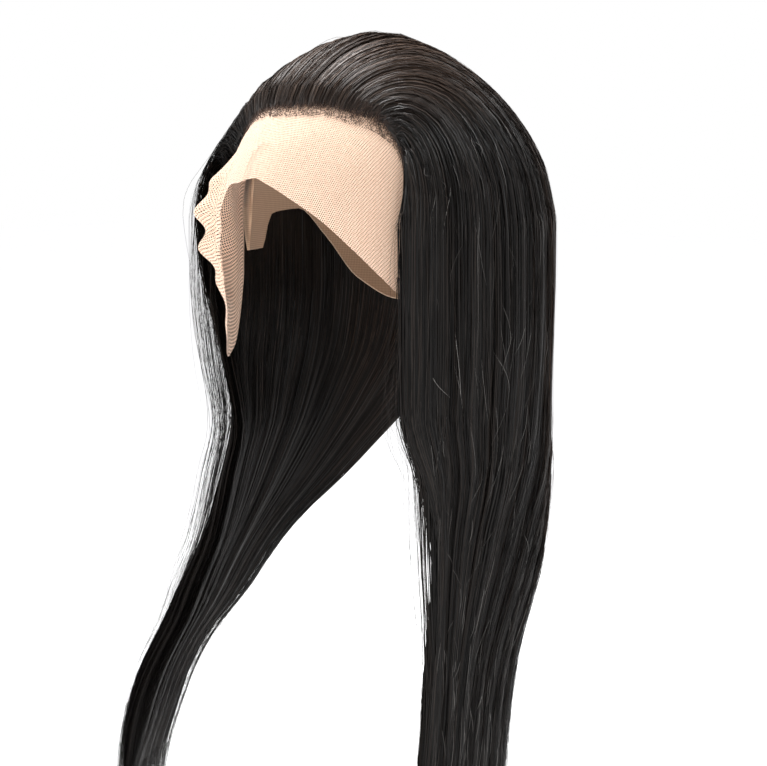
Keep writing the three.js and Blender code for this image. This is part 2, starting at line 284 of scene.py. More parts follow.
def make_strand_finish():
    finish, shader, start = new_finish(
        "hair_strand", Roughness=0.4, Specular_IOR_Level=0.14, IOR=1.5, Coat_Roughness=0.3
    )
    odds, along = run_of(start)
    brown = odds.eased(0.55, 0.98)
    tone, painted_backlit_tone = brown.blend(BLACK, SOFT_BLACK), brown.blend(DARK_BROWN, BROWN)
    # Painted backlight and sheen: the hair is painted browner over the crown and at the back.
    tone = (painted_backlight_and_sheen(start) * MOST_PAINTED_BACKLIGHT).blend(tone, painted_backlit_tone)
    # Painted glints: the highest chance numbers are painted pale grey.
    painted_glint = (odds * 997.0 % 1.0).blend(DIM_GLINT_TONE, BRIGHT_GLINT_TONE)
    tone = (odds > PAINTED_GLINT_FROM).blend(tone, painted_glint)
    shine = (odds * 7.31 % 1.0).eased(0.0, 1.0, 0.34, 0.55)
    gloss = (odds * 13.7 % 1.0).eased(0.55, 1.0, 0.0, 0.24)
    return feed(finish, shader, Base_Color=tone, Roughness=shine, Coat_Weight=gloss)


strand_finish = make_strand_finish()

# %% [markdown]
# ## The finish at the hairline
# The fine hairs and knots at the hairline let light through, so that they look brown on the pale
# lace. They get a warmer finish of their own.


# %% Hairline finish
def make_hairline_finish():
    finish, shader, start = new_finish("hairline_hair", Roughness=0.5, Specular_IOR_Level=0.2)
    odds, along = run_of(start)
    tone = odds.blend((0.022, 0.0135, 0.01, 1), (0.1, 0.058, 0.04, 1))
    dark = (0.008, 0.0065, 0.006, 1)
    return feed(finish, shader, Base_Color=(along * 0.8).blend(tone, dark))


hairline_finish = make_hairline_finish()

# %% [markdown]
# ## The finish of the hair underneath
# Under the top strands lies a dense body of hair, where single hairs can't be told apart. Its
# finish is a noise drawn out along the locks, which gives long dark and lighter streaks, and the
# same noise as a bump.


# %% Finish of the body of hair
def make_body_finish():
    finish, shader, start = new_finish("hair_body", Roughness=0.55, Specular_IOR_Level=0.18)
    across, along = run_of(start)
    place = start.node("ShaderNodeCombineXYZ", _0=across * 420, _1=along * 5)
    streak = start.node("ShaderNodeTexNoise", Vector=place, Scale=1.0, Detail=5.0, Roughness=0.75)
    tone = streak.eased(0.35, 0.75).blend((0.0055, 0.0047, 0.0043, 1), (0.014, 0.0105, 0.0085, 1))
    bump = start.node("ShaderNodeBump", Height=streak, Strength=0.8, Distance=0.0006)
    return feed(finish, shader, Base_Color=tone, Normal=bump)


body_finish = make_body_finish()

# %% [markdown]
# ## Lace
# The lace is a net of tiny six-sided holes, about 1.2 mm apart, in thin pale thread. Modelled
# thread by thread it would take hundreds of thousands of faces, so the sheet is one surface, and
# its finish cuts the holes: the distance to the middle of the nearest hole decides where there
# is thread. Two shifted grids of middles make the honeycomb.

# %% Lace finish
MESH_PITCH = 0.0012
THREAD_SHARE = 0.43


def make_lace_finish():
    finish, shader, start = new_finish(
        "lace_net", Roughness=0.85, Specular_IOR_Level=0.25, Sheen_Weight=0.2
    )
    across, down = run_of(start)
    x, y = across * (1 / MESH_PITCH), down * (1 / MESH_PITCH)
    tall = math.sqrt(3)
    ax, ay = x % 1.0 - 0.5, y % tall - tall / 2
    bx, by = (x - 0.5) % 1.0 - 0.5, (y - tall / 2) % tall - tall / 2
    first = (ax * ax + ay * ay) < (bx * bx + by * by)
    hx = abs(first * ax + (1 - first) * bx)
    hy = abs(first * ay + (1 - first) * by)
    from_middle = hx.larger(hx * 0.5 + hy * (tall / 2))
    thread = from_middle > (0.5 * (1 - THREAD_SHARE))
    place = start.node("ShaderNodeTexCoord", out=3)
    grain = start.node("ShaderNodeTexNoise", Scale=900.0, Detail=2.0, Vector=place)
    tone = grain.eased(0.3, 0.7).blend((0.8, 0.55, 0.405, 1), (0.91, 0.67, 0.515, 1))
    return feed(finish, shader, Base_Color=tone, Alpha=thread)


lace_finish = make_lace_finish()
print("its holes are", MESH_PITCH * 1000, "mm apart")

# %% [markdown]
# ## Cap cloth
# The cap is a stretch net, seen only from inside here. A knit reads as fine ribs, so two waves,
# across and down, give its bump, with a small change of tone.


# %% Cap finish
RIBS_A_METRE = 900


def make_cap_finish():
    finish, shader, start = new_finish(
        "cap_cloth", Roughness=0.9, Specular_IOR_Level=0.2, Sheen_Weight=0.25
    )
    across, down = run_of(start)
    ribs = abs(across * RIBS_A_METRE % 1.0 - 0.5) + abs(down * RIBS_A_METRE % 1.0 - 0.5)
    tone = ribs.eased(0.1, 0.8).blend((0.33, 0.215, 0.14, 1), (0.55, 0.39, 0.27, 1))
    bump = start.node("ShaderNodeBump", Height=ribs, Strength=0.5, Distance=0.0003)
    return feed(finish, shader, Base_Color=tone, Normal=bump)


cap_finish = make_cap_finish()

# %% [markdown]
# ## Meshes from arrays
# A wig is many like things, so each piece is worked out as an array of points with numpy and
# turned into one mesh at the end. Every point also carries two numbers, kept as a UV map named
# Run, which the finishes read.


# %% Mesh helpers
def make_piece(name, points, faces, finish, run=None, smooth=True, crisp=False):
    mesh = bpy.data.meshes.new(name)
    mesh.vertices.add(len(points))
    mesh.vertices.foreach_set("co", np.asarray(points, np.float32).ravel())
    sides = faces.shape[1]
    mesh.loops.add(faces.size)
    mesh.loops.foreach_set("vertex_index", faces.astype(np.int32).ravel())
    mesh.polygons.add(len(faces))
    mesh.polygons.foreach_set("loop_start", np.arange(0, faces.size, sides, dtype=np.int32))
    mesh.update(calc_edges=True)
    if run is not None:
        layer = mesh.uv_layers.new(name="Run")
        layer.data.foreach_set("uv", np.asarray(run, np.float32)[faces.ravel()].ravel())
    if smooth:
        mesh.polygons.foreach_set("use_smooth", np.ones(len(faces), bool))
    if crisp:
        mesh.set_sharp_from_angle(angle=math.radians(50))
    mesh.materials.append(finish)
    piece = bpy.data.objects.new(name, mesh)
    bpy.context.collection.objects.link(piece)
    print(f"{name}: {len(points)} points, {len(faces) * (sides - 2)} triangles")
    return piece


def grid_faces(rows, columns, start=0, flip=False):
    row, column = np.arange(rows - 1)[:, None], np.arange(columns - 1)[None, :]
    a = start + row * columns + column
    faces = np.stack([a, a + columns, a + columns + 1, a + 1], -1).reshape(-1, 4)
    return faces[:, ::-1] if flip else faces


def shell_faces(rows, columns):
    """Two layers of a grid, joined round their edge."""
    layer = rows * columns
    top = np.arange(columns)
    right = np.arange(1, rows) * columns + columns - 1
    bottom = (rows - 1) * columns + np.arange(columns - 2, -1, -1)
    left = np.arange(rows - 2, 0, -1) * columns
    edge = np.concatenate([top, right, bottom, left])
    after = np.roll(edge, -1)
    rim = np.stack([edge, after, after + layer, edge + layer], -1)
    outer, inner = grid_faces(rows, columns), grid_faces(rows, columns, layer, flip=True)
    return np.concatenate([outer, inner, rim])


def size_of(vectors):
    return np.linalg.norm(vectors, axis=-1)


def unit(vectors):
    return vectors / np.maximum(size_of(vectors), 1e-9)[..., None]


def walked(grid):
    """How many metres down its column each point of a grid lies."""
    steps = size_of(np.diff(grid, axis=0))
    return np.concatenate([0 * steps[:1], np.cumsum(steps, axis=0)])


def mix(a, b, share):
    return a + (b - a) * share


def ease(share):
    share = np.clip(share, 0.0, 1.0)
    return share * share * (3 - 2 * share)


print("helpers ready: make_piece, grid_faces, shell_faces, size_of, unit, walked, mix, ease")

# %% [markdown]
# ## The form of the hair
# The solids are worked out from a head, a hairline and a table for each side that says where the
# hanging hair begins and ends at each level. The same tables are used here, in metres and with
# finer steps, so that the strands follow the solids without their flat facets. Two things were
# changed when the strands were compared with the real hair: the left front edge lies two or three
# degrees further back, and the waves of the locks and the tips' unevenness are smaller. A place
# in the hair has three numbers: its share of the way from the front edge to the back of a side,
# how far along the lock it is, and how deep in the hair it lies.

# %% Sizes and tables
HEAD = np.array([0.076, 0.096, 0.092])
CAP_WALL, HAIR_CLEARANCE, LACE_TOP = 0.0015, 0.0018, 0.0013
HAIR_HALF_BREADTH, FRONT_REACH, OVER_CROWN, DOME_POWER = 0.097, 0.112, 0.0113, 1.7
FALL_LENGTH, FALL_THICKNESS, TIP_THICKNESS = 0.383, 0.015, 0.0035
LOCK_DEPTH, LOCKS_A_SIDE, TIP_UNEVENNESS = 0.0015, 7, 0.003

# Columns of the tables: the first is always the key that a row is found by
DOWN, DROP, LIFT = 1, 1, 2
FRONT_ANGLE, BACK_ANGLE, FRONT_RADIUS, MIDDLE_RADIUS, BACK_RADIUS = range(1, 6)

# Angle round the head, angle down from the crown
HAIRLINE = np.array(
    [
        (0, 50.5), (14, 50.5), (24, 51.5), (33, 53.5),
        (42, 56.5), (48, 61), (52, 66), (54, 74),
    ]
)  # fmt: skip

# Drop, front angle, back angle, radius at the front, in the middle and at the back
LEFT_FALL = np.array(
    [
        (0, 46.5, 180, 0.99, 1.02, 1.206),
        (0.125, 46.5, 180, 0.99, 1.03, 1.165),
        (0.256, 46.5, 172, 1, 1.03, 1.07),
        (0.36, 52, 150, 0.99, 1.04, 1.07),
        (0.44, 53, 128, 0.99, 1.04, 1.03),
        (0.512, 54, 115, 0.99, 1.03, 1.03),
        (0.58, 55, 104, 0.99, 1.01, 1),
        (0.648, 55.5, 96, 0.99, 1, 0.98),
        (0.726, 55, 92, 0.99, 1, 0.98),
        (0.859, 53, 90, 0.99, 1, 0.98),
        (1, 55, 87, 0.99, 1, 0.98),
    ]
)
RIGHT_FALL = np.array(
    [
        (0, 55, 180, 1.11, 1.04, 1.206),
        (0.1, 55, 180, 1.1, 1.04, 1.175),
        (0.204, 55, 176, 1.055, 1.03, 1.09),
        (0.329, 56, 156, 0.985, 1.02, 1.05),
        (0.4, 56, 140, 1.045, 1.05, 1.03),
        (0.467, 56, 124, 1.103, 1.1, 1.06),
        (0.517, 55, 110, 1.155, 1.14, 1.1),
        (0.572, 54, 98, 1.247, 1.21, 1.155),
        (0.634, 53, 90, 1.34, 1.3, 1.24),
        (0.723, 52, 80, 1.515, 1.48, 1.44),
        (0.804, 51, 75, 1.62, 1.59, 1.55),
        (0.885, 51, 73, 1.67, 1.64, 1.6),
        (1, 51, 72, 1.68, 1.65, 1.62),
    ]
)
SIDES = {
    "left": {"sign": 1, "rows": LEFT_FALL, "phase": 0.4},
    "right": {"sign": -1, "rows": RIGHT_FALL, "phase": 2.1},
}


def read(rows, column, at):
    """A table's column at a key in its first column, eased so that no edge kinks."""
    x, y = rows[:, 0], rows[:, column]
    step = np.diff(y) / np.diff(x)
    turn = step[:-1] * step[1:]
    total = np.where(turn > 0, step[:-1] + step[1:], 1.0)
    slope = np.concatenate([step[:1], np.where(turn > 0, 2 * turn / total, 0.0), step[-1:]])
    i = np.clip(np.searchsorted(x, at) - 1, 0, len(x) - 2)
    wide = x[i + 1] - x[i]
    k = np.clip((at - x[i]) / wide, 0, 1)
    k2, k3 = k * k, k * k * k
    return (
        y[i] * (2 * k3 - 3 * k2 + 1)
        + slope[i] * wide * (k3 - 2 * k2 + k)
        + y[i + 1] * (3 * k2 - 2 * k3)
        + slope[i + 1] * wide * (k3 - k2)
    )


for side_name, side in SIDES.items():
    print(side_name, "front edge, degrees from the face:", read(side["rows"], FRONT_ANGLE, 0.0))

# %% [markdown]
# ## Hanging hair, level by level
# At each level below the ears, a side of hair is a curved band round the neck. Its radius runs
# through three values from front to back. Waves across the band are the locks.


# %% The band of hanging hair
def lock_wave(side, share, along):
    turn = 2 * np.pi * LOCKS_A_SIDE * share
    phase = side["phase"]
    narrow = np.sin(turn + phase + 0.9 * np.sin(4.1 * along + phase))
    return 0.65 * narrow + 0.35 * np.sin(0.52 * turn + 3 * along - phase)


def round_at(side, drop, share):
    front, back = (read(side["rows"], c, drop) for c in (FRONT_ANGLE, BACK_ANGLE))
    return mix(front, back, share)


def radius_at(side, drop, share):
    columns = (FRONT_RADIUS, MIDDLE_RADIUS, BACK_RADIUS)
    front, middle, back = (read(side["rows"], c, drop) for c in columns)
    curve = front * (1 - share) * (1 - 2 * share) + middle * 4 * share * (1 - share)
    return HAIR_HALF_BREADTH * (curve + back * share * (2 * share - 1))


def cap_radius(degrees):
    """The cap's own half width at its widest level, in a direction round the head."""
    sine, cosine = np.sin(np.radians(degrees)), np.cos(np.radians(degrees))
    around = np.arctan2(sine / HEAD[0], cosine / HEAD[1])
    clear = HEAD + CAP_WALL + HAIR_CLEARANCE
    return np.hypot(np.sin(around) * clear[0], np.cos(around) * clear[1])


def hanging(side, share, drop):
    """The outer and inner face of the hanging hair at one place."""
    degrees = np.radians(round_at(side, drop, share))
    wave = LOCK_DEPTH * mix(1, 0.6, drop) * lock_wave(side, share, drop)
    out = radius_at(side, drop, share) + wave
    top = out - cap_radius(round_at(side, 0 * drop, share))
    body = mix(FALL_THICKNESS, TIP_THICKNESS, ease((drop - 0.8) / 0.2))
    thick = mix(top, body, ease((drop - 0.12) / 0.2))
    ragged = np.sin(23 * share + side["phase"]) + 0.6 * np.sin(61 * share)
    z = -HEAD[2] - drop * FALL_LENGTH * (1 + TIP_UNEVENNESS / FALL_LENGTH * drop**6 * ragged)
    across, ahead = side["sign"] * np.sin(degrees), -np.cos(degrees)
    outer = np.stack([across * out, ahead * out, z], -1)
    inner = np.stack([across * (out - thick), ahead * (out - thick), z], -1)
    return outer, inner


outer, inner = hanging(SIDES["left"], np.array([0.5]), np.array([0.5]))
print("the left band half way down is", round(np.linalg.norm(outer - inner) * 1000, 1), "mm thick")

# %% [markdown]
# ## Hair over the head
# A lock leaves the hairline straight back, curves outwards and arrives at the widest level
# pointing down. Its path is a cubic curve on the head, seen from above as a unit disc, so the
# locks fan out and never cross. The outer face is a dome with more height over the forehead.


# %% The hair over the head
def over_head(side, share, along):
    """A place on the head as a share of its three half sizes."""
    share = np.clip(share, 0, 1)
    root_round = mix(HAIRLINE[-1, 0], 0, share**0.8)
    reach = np.sin(np.radians(read(HAIRLINE, DOWN, root_round)))
    root_round = np.radians(root_round)
    root = np.stack([np.sin(root_round) * reach, np.cos(root_round) * reach], -1)
    land = np.radians(round_at(side, 0 * share, share))
    land = np.arctan2(np.sin(land) / HEAD[0], np.cos(land) / HEAD[1])
    end = np.stack([np.sin(land), np.cos(land)], -1)
    far = size_of(end - root)[..., None]
    first = root + np.array([0, -0.36]) * far
    second = end * (1 - 0.3 * far)
    t = along[..., None]
    flat = root * (1 - t) ** 3 + 3 * first * t * (1 - t) ** 2
    flat = flat + 3 * second * t * t * (1 - t) + end * t**3
    long = np.minimum(1, size_of(flat))
    return np.stack([flat[..., 0], -flat[..., 1], np.sqrt(1 - long * long)], -1)


def widest_radius(side, degrees):
    front = side["rows"][0, FRONT_ANGLE]
    zero = 0 * degrees
    behind = radius_at(side, zero, np.clip((degrees - front) / (180 - front), 0, 1))
    ahead = mix(FRONT_REACH, radius_at(side, zero, zero), ease(degrees / front))
    return np.where(degrees >= front, behind, ahead)


def over_cap(side, share, along):
    """The outer and inner face of the hair over the head at one place."""
    way = over_head(side, share, along)
    clear = CAP_WALL + HAIR_CLEARANCE
    inner = way * (HEAD + clear) * np.array([side["sign"], 1, 1])
    degrees = np.degrees(np.arctan2(np.abs(inner[..., 0]), -inner[..., 1]))
    spread = np.hypot(inner[..., 0], inner[..., 1]) / widest_radius(side, degrees)
    rise = np.maximum(inner[..., 2], 0) / (HEAD[2] + OVER_CROWN)
    full = (spread**DOME_POWER + rise**DOME_POWER) ** (-1 / DOME_POWER)
    length = size_of(inner)
    back = np.clip(along / mix(0.9, 0.2, ease(share * 3)), 0, 1)
    root = np.sqrt(1 - (1 - back) ** 2)
    lip = mix(root, 1, ease((along - 0.55) / 0.45))
    wave = LOCK_DEPTH * lock_wave(side, share, 0 * share) * mix(0.2, 1, along * along) * lip
    grown = np.maximum(0.0012, mix(0.0012, length * (full - 1), lip) + wave)
    outer = inner * (1 + grown / length)[..., None]
    sunk = (clear - LACE_TOP) * (1 - ease((along + 0.02) / 0.12))
    skin = inner * (1 - sunk / length)[..., None]
    lift = np.array([0, 0, -HEAD[2]])
    return outer + lift, inner + lift, skin + lift


outer, inner, skin = over_cap(SIDES["left"], np.array([1.0]), np.array([0.5]))
print("over the crown the hair is", round(np.linalg.norm(outer - inner) * 1000, 1), "mm deep")
print("the crown's top is at z =", round(float(outer[0, 2]) * 1000, 1), "mm")

# %% [markdown]
# ## One map for each side
# Strands are read from a map: a grid of points of the outer and inner face, from just in front
# of the hairline (station -0.05) over the head (to 1) and down to the tips (2).

# %% Maps of the hair
STATIONS = np.concatenate([np.linspace(-0.05, 1, 43)[:-1], 1 + np.linspace(0, 1, 66)])
SHARES = np.linspace(0, 1, 145)


def map_side(side):
    share, station = np.meshgrid(SHARES, STATIONS)
    head = station < 1
    outer, inner = hanging(side, share, np.clip(station - 1, 0, 1))
    over = over_cap(side, share, np.clip(station, -0.05, 1))
    outer = np.where(head[..., None], over[0], outer)
    inner = np.where(head[..., None], over[2], inner)
    return {"outer": outer, "inner": inner}


MAPS = {name: map_side(side) for name, side in SIDES.items()}


def look_up(name, layer, share, station):
    """Reads a map between its points. Places past an edge carry on in a straight line."""
    grid = MAPS[name][layer]
    row = np.interp(station, STATIONS, np.arange(len(STATIONS)))
    column = share * (len(SHARES) - 1)
    r = np.clip(np.floor(row).astype(int), 0, len(STATIONS) - 2)
    c = np.clip(np.floor(column).astype(int), 0, len(SHARES) - 2)
    a, b = (row - r)[..., None], (column - c)[..., None]
    near = mix(grid[r, c], grid[r, c + 1], b)
    return mix(near, mix(grid[r + 1, c], grid[r + 1, c + 1], b), a)


def hair_at(name, share, station):
    """The outer face and the inner face at some places, and the way from one to the other."""
    outer, inner = (look_up(name, layer, share, station) for layer in ("outer", "inner"))
    return outer, inner, unit(outer - inner)


def nearest_column(share):
    return np.clip(np.round(share * (len(SHARES) - 1)).astype(int), 0, len(SHARES) - 1)


print("map of", len(STATIONS), "by", len(SHARES), "places on each side")

# %% [markdown]
# ## The body of hair
# Under the top strands is a dense body of hair. It could be filled with strands too, but nobody
# would see them, so it is one closed shell for each solid that it stands for. It stays a little
# inside the solid's outer face, and ends before the tips and the front edge, where the single
# strands take over and keep the edge soft. On the left there is a thin patch half way down the
# front edge, and on the right a stretch of the front edge is loose, with few strands outside.

# %% Shells for the body of hair
BODY_SINK, BODY_START = 0.0024, 0.06
THIN_PATCH = {"drop": 0.5, "reach": 0.115, "share": 0.09, "parted": 0.93}
LOOSE_EDGE = {"drop": 0.33, "reach": 0.22, "share": 0.24, "deep": 0.0085}


def thinning(station):
    """How thin the hair at the left front edge is, from 0 to 1 in the middle of the thin patch."""
    return np.exp(-(((station - 1 - THIN_PATCH["drop"]) / THIN_PATCH["reach"]) ** 2))


def loose_depth(name, share, station):
    """How much deeper the dense hair lies at the loose front edge on the right."""
    away = np.abs(station - 1 - LOOSE_EDGE["drop"]) / LOOSE_EDGE["reach"]
    window = np.exp(-(away**4)) * (1 - ease(share / LOOSE_EDGE["share"]))
    return LOOSE_EDGE["deep"] * window * (name == "right")


def body_faces(name, shares, stations):
    """The body's outer and inner grid over some shares and stations of one side."""
    share, station = np.meshgrid(shares, stations)
    drop = np.clip(station - 1, 0, 1)
    edge = 0.016 + 0.006 * ease(station - 0.3)
    if name == "left":
        edge = edge + THIN_PATCH["share"] * thinning(station)
    back = 0.012 * ease((drop - 0.2) / 0.15)
    place = share + edge * (1 - share) ** 3 - back * share**6
    outer, inner, out = hair_at(name, place, station)
    thick = size_of(outer - inner)
    front_round = np.exp(-share / 0.035)
    back_round = np.exp(-(1 - share) / 0.035) * ease((drop - 0.2) / 0.15)
    pinch = 0.36 * np.maximum(front_round, back_round)
    sink = np.minimum(BODY_SINK + loose_depth(name, share, station), 0.65 * thick) / thick
    low, high = 0.03 + pinch, 1 - sink - pinch * (1 - sink)
    swell = np.sqrt(np.clip((station - BODY_START + 0.004) / 0.09, 0, 1))
    high = low + (high - low) * swell
    run = np.stack([share * 0.23, station], -1)
    return mix(inner, outer, high[..., None]), mix(inner, outer, low[..., None]), run


def make_body(name, outer, inner, run, node):
    rows, columns = outer.shape[:2]
    points = np.concatenate([outer.reshape(-1, 3), inner.reshape(-1, 3)])
    faces = shell_faces(rows, columns)
    a, b, c = (points[faces[:, i]] for i in (0, 1, 2))
    if np.einsum("ij,ij->i", a, np.cross(b, c)).sum() < 0:
        faces = faces[:, ::-1]
    run = np.tile(run.reshape(-1, 2), (2, 1))
    body = make_piece(name, points, faces, body_finish, run, crisp=True)
    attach(body, "root")
    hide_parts(node)


def both_sides(stations, columns=57):
    """Left and right grids joined along the middle line."""
    shares = np.linspace(0, 1, columns)
    left, right = body_faces("left", shares, stations), body_faces("right", shares, stations)
    joined = []
    for a, b in zip(left, right):
        middle = (a[:, -1:] + b[:, -1:]) / 2
        joined.append(np.concatenate([a[:, :-1], middle, b[:, -2::-1]], axis=1))
    return joined


make_body("front_hair_body", *both_sides(np.linspace(BODY_START, 0.34, 19)), "front_hair")
make_body("crown_hair_body", *both_sides(np.linspace(0.34, 1, 26)), "crown_hair")
THIRDS = {"front": (0, 1 / 3), "side": (1 / 3, 2 / 3), "back": (2 / 3, 1)}
for side_name in SIDES:
    for third, (low, high) in THIRDS.items():
        grids = body_faces(side_name, np.linspace(low, high, 40), np.linspace(1, 1.9, 40))
        node = f"{side_name}_{third}_fall"
        make_body(f"{node}_body", *grids, node)

# %% [markdown]
# ## Ribbons for strands
# A hair is too thin to be a tube here: a flat ribbon of two triangles a step looks the same and
# costs a sixth. Each ribbon is turned by its own angle about its length, so that some catch the
# light and others don't, as real hairs do.


# %% Ribbons
chance = np.random.default_rng(20)


def ribbons(name, paths, out, width, odds, twist, finish=strand_finish):
    """One mesh of ribbons. paths is strands by points, and width is the same."""
    count, steps = paths.shape[:2]
    along = unit(np.gradient(paths, axis=1))
    across = unit(np.cross(along, out))
    lifted = np.cross(across, along)
    angle = chance.uniform(-twist, twist, (count, 1, 1))
    flat = across * np.cos(angle) + lifted * np.sin(angle)
    half = flat * width[..., None] / 2
    points = np.stack([paths - half, paths + half], 2).reshape(-1, 3)
    first = (np.arange(count)[:, None] * steps + np.arange(steps - 1)[None, :]).ravel() * 2
    faces = np.stack([first, first + 1, first + 3, first + 2], -1)
    run = np.stack(np.broadcast_arrays(odds[:, None], np.linspace(0, 1, steps)[None, :]), -1)
    run = np.repeat(run.reshape(-1, 2), 2, axis=0)
    piece = make_piece(name, points, faces, finish, run)
    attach(piece, "root")


def taper(count, steps, widest, root=0.6, tip=0.15):
    """Widths along strands: a little narrower at the root and fine at the tip."""
    t = np.linspace(0, 1, steps)
    shape = np.interp(t, [0, 0.08, 0.7, 1], [root, 1, 0.85, tip])
    return widest * chance.uniform(0.75, 1.25, (count, 1)) * shape


print("ribbon helpers ready")

# %% [markdown]
# ## Where strands run
# Each strand starts at a root and keeps its own share of the side all the way down. Real hair
# gathers into locks, the more so the longer it hangs, so each strand is pulled towards the
# middle of a fine lock and of a wide one, and the pull grows towards the tips. Just behind the
# hairline the strands bunch in tufts, which gives the front its soft ridges, and on the way each
# one wanders a little by itself.

# %% Stations along a strand
STEPS = 31
LENGTHS = {name: walked(grids["outer"]) for name, grids in MAPS.items()}


def even_stations(name, share, first, last, steps=STEPS, closer=1.0):
    """Stations evenly spaced in metres along each strand, or closer near the root."""
    column = nearest_column(share)
    result, run = np.empty((len(share), steps)), np.empty((len(share), steps))
    for i, c in enumerate(column):
        metres = LENGTHS[name][:, c]
        start, end = np.interp([first[i], last[i]], STATIONS, metres)
        run[i] = (end - start) * np.linspace(0, 1, steps) ** closer
        result[i] = np.interp(start + run[i], metres, STATIONS)
    return result if closer == 1 else (result, run)


def station_after(name, share, metres):
    """The station that lies some metres behind the hairline."""
    result = np.empty(len(share))
    for i, c in enumerate(nearest_column(share)):
        along = LENGTHS[name][:, c]
        result[i] = np.interp(np.interp(0, STATIONS, along) + metres[i], along, STATIONS)
    return result


longest = {name: round(float(metres[-1].max()), 3) for name, metres in LENGTHS.items()}
print("longest way from the hairline to the tips, in metres:", longest)

# %% Locks
FINE_LOCKS, WIDE_LOCKS, FRONT_LOCKS = 110, 24, 56


def lock_middle(share, locks, moves):
    """The middle of the lock that a share belongs to. The locks are of uneven width."""
    width = moves.uniform(0.35, 1.65, locks)
    ends = np.concatenate([[0], np.cumsum(width)]) / width.sum()
    which = np.clip(np.searchsorted(ends, share) - 1, 0, locks - 1)
    return mix(ends[which], ends[which + 1], moves.uniform(0.25, 0.75, locks)[which]), which


def gathered(name, share, s, keen):
    """Where strands lie once locks gather them, how far a lock shifts, and its relief."""
    moves = np.random.default_rng(7 if name == "left" else 8)
    fine, fine_id = lock_middle(share, FINE_LOCKS, moves)
    wide = lock_middle(share, WIDE_LOCKS, moves)[0]
    lift = moves.uniform(-1, 1, (FINE_LOCKS, 3))[fine_id]
    front, front_id = lock_middle(share, FRONT_LOCKS, moves)
    roll = moves.uniform(-1, 1, (FRONT_LOCKS, 3))[front_id]
    loose = 1 - 0.9 * ease((s - 1.6) / 0.35)
    near_root = ease((s - 0.02) / 0.1) * (1 - ease((s - 0.3) / 0.5))
    pull = 0.7 * keen[:, :1] * ease((s - 0.2) / 1.5) * loose
    broad = 0.16 * keen[:, 1:] * ease((s - 0.9) / 1.1) * loose
    tuft = (0.05 + 0.7 * keen[:, :1]) * near_root
    place = share[:, None] + (fine - share)[:, None] * pull + (wide - share)[:, None] * broad
    place = place + (front - share)[:, None] * tuft
    place = place + 0.008 * roll[:, :1] * np.sin(9 * s + 3 * roll[:, 1:2]) * near_root
    shift = 0.006 * lift[:, 1:2] * np.sin(3.1 * s + 3 * lift[:, 2:3]) * np.clip(s - 0.5, 0, 1)
    relief = 0.0003 * lift[:, :1] * ease((s - 0.1) / 0.5) + 0.0005 * roll[:, 2:] * near_root
    return place, shift, relief


print(FINE_LOCKS, "fine,", WIDE_LOCKS, "wide and", FRONT_LOCKS, "front locks a side")


# %% Strand paths
def strand_paths(name, share, s, depth, rise):
    """Points of strands from their shares, stations and depths below the outer face."""
    n = len(share)
    sway = chance.uniform(0, 2 * np.pi, (n, 2))
    keen = chance.uniform(0.1, 0.7, (n, 2))
    place, shift, relief = gathered(name, share, s, keen)
    if name == "left":
        parted = (chance.random(n) < THIN_PATCH["parted"])[:, None]
        beyond = np.maximum(0, THIN_PATCH["share"] + 0.01 - place)
        place = place + parted * beyond * thinning(s)
    roam = chance.exponential(0.0045, (n, 1))
    wander = roam * np.sin(4.2 * s + sway[:, :1]) + 0.0012 * np.sin(11 * s + sway[:, 1:])
    place = place + wander * np.clip(s, 0, 1)
    lean = chance.normal(0, 0.016, (n, 1)) * np.minimum(1, 0.2 + 25 * share[:, None])
    place = place + lean * (1 - ease(s / 0.45)) * (1 - 0.6 * share[:, None]) + shift
    outer, inner, out = hair_at(name, place, s)
    thick = size_of(outer - inner)
    stay = (chance.random(n) < 0.07)[:, None]
    height = thick - depth + relief - np.where(stay, 0, loose_depth(name, place, s))
    height = np.maximum(height, np.minimum(thick - depth, 0.2 * depth))
    height = np.clip(height, -0.0008, thick + 0.009) * rise
    return inner + out * height[..., None], out


def strand_odds(count):
    """Chance numbers for the strand finish, below those of the painted glints."""
    return chance.uniform(0, 0.98, count)


print("helpers ready: strand_paths, strand_odds")

# %% [markdown]
# ## Long strands
# Half of the strands are rooted in a soft band at the hairline, where they rise from the lace.
# Most of the others are rooted on the cap and come up from under the hair above them, and a few
# line the inside. All of them reach the tips, and their ends are spread over a few centimetres.
# At a free edge, strands fill the whole thickness of the hair.

# %% Long strands
STRANDS_A_SECTION, STRAND_WIDTH = 1980, 0.0004
INNER_SHARE, EDGE_STRANDS = 0.12, {"front": 330, "back": 90}
LAST_STATION, SPREAD_OF_TIPS = 2.01, 0.12


def strand_depths(count, station, edge):
    """Depths below the outer face, in metres. Strands near an edge fill its whole thickness."""
    depth = (0.0001 + 0.0034 * chance.random(count) ** 1.4)[:, None] + 0 * station
    spread = chance.uniform(0, 0.012, (count, 1))
    depth = mix(depth, spread, 0.8 * ease((station - 1.7) / 0.3))
    return np.where(edge[:, None], chance.uniform(0, 0.0165, (count, 1)), depth)


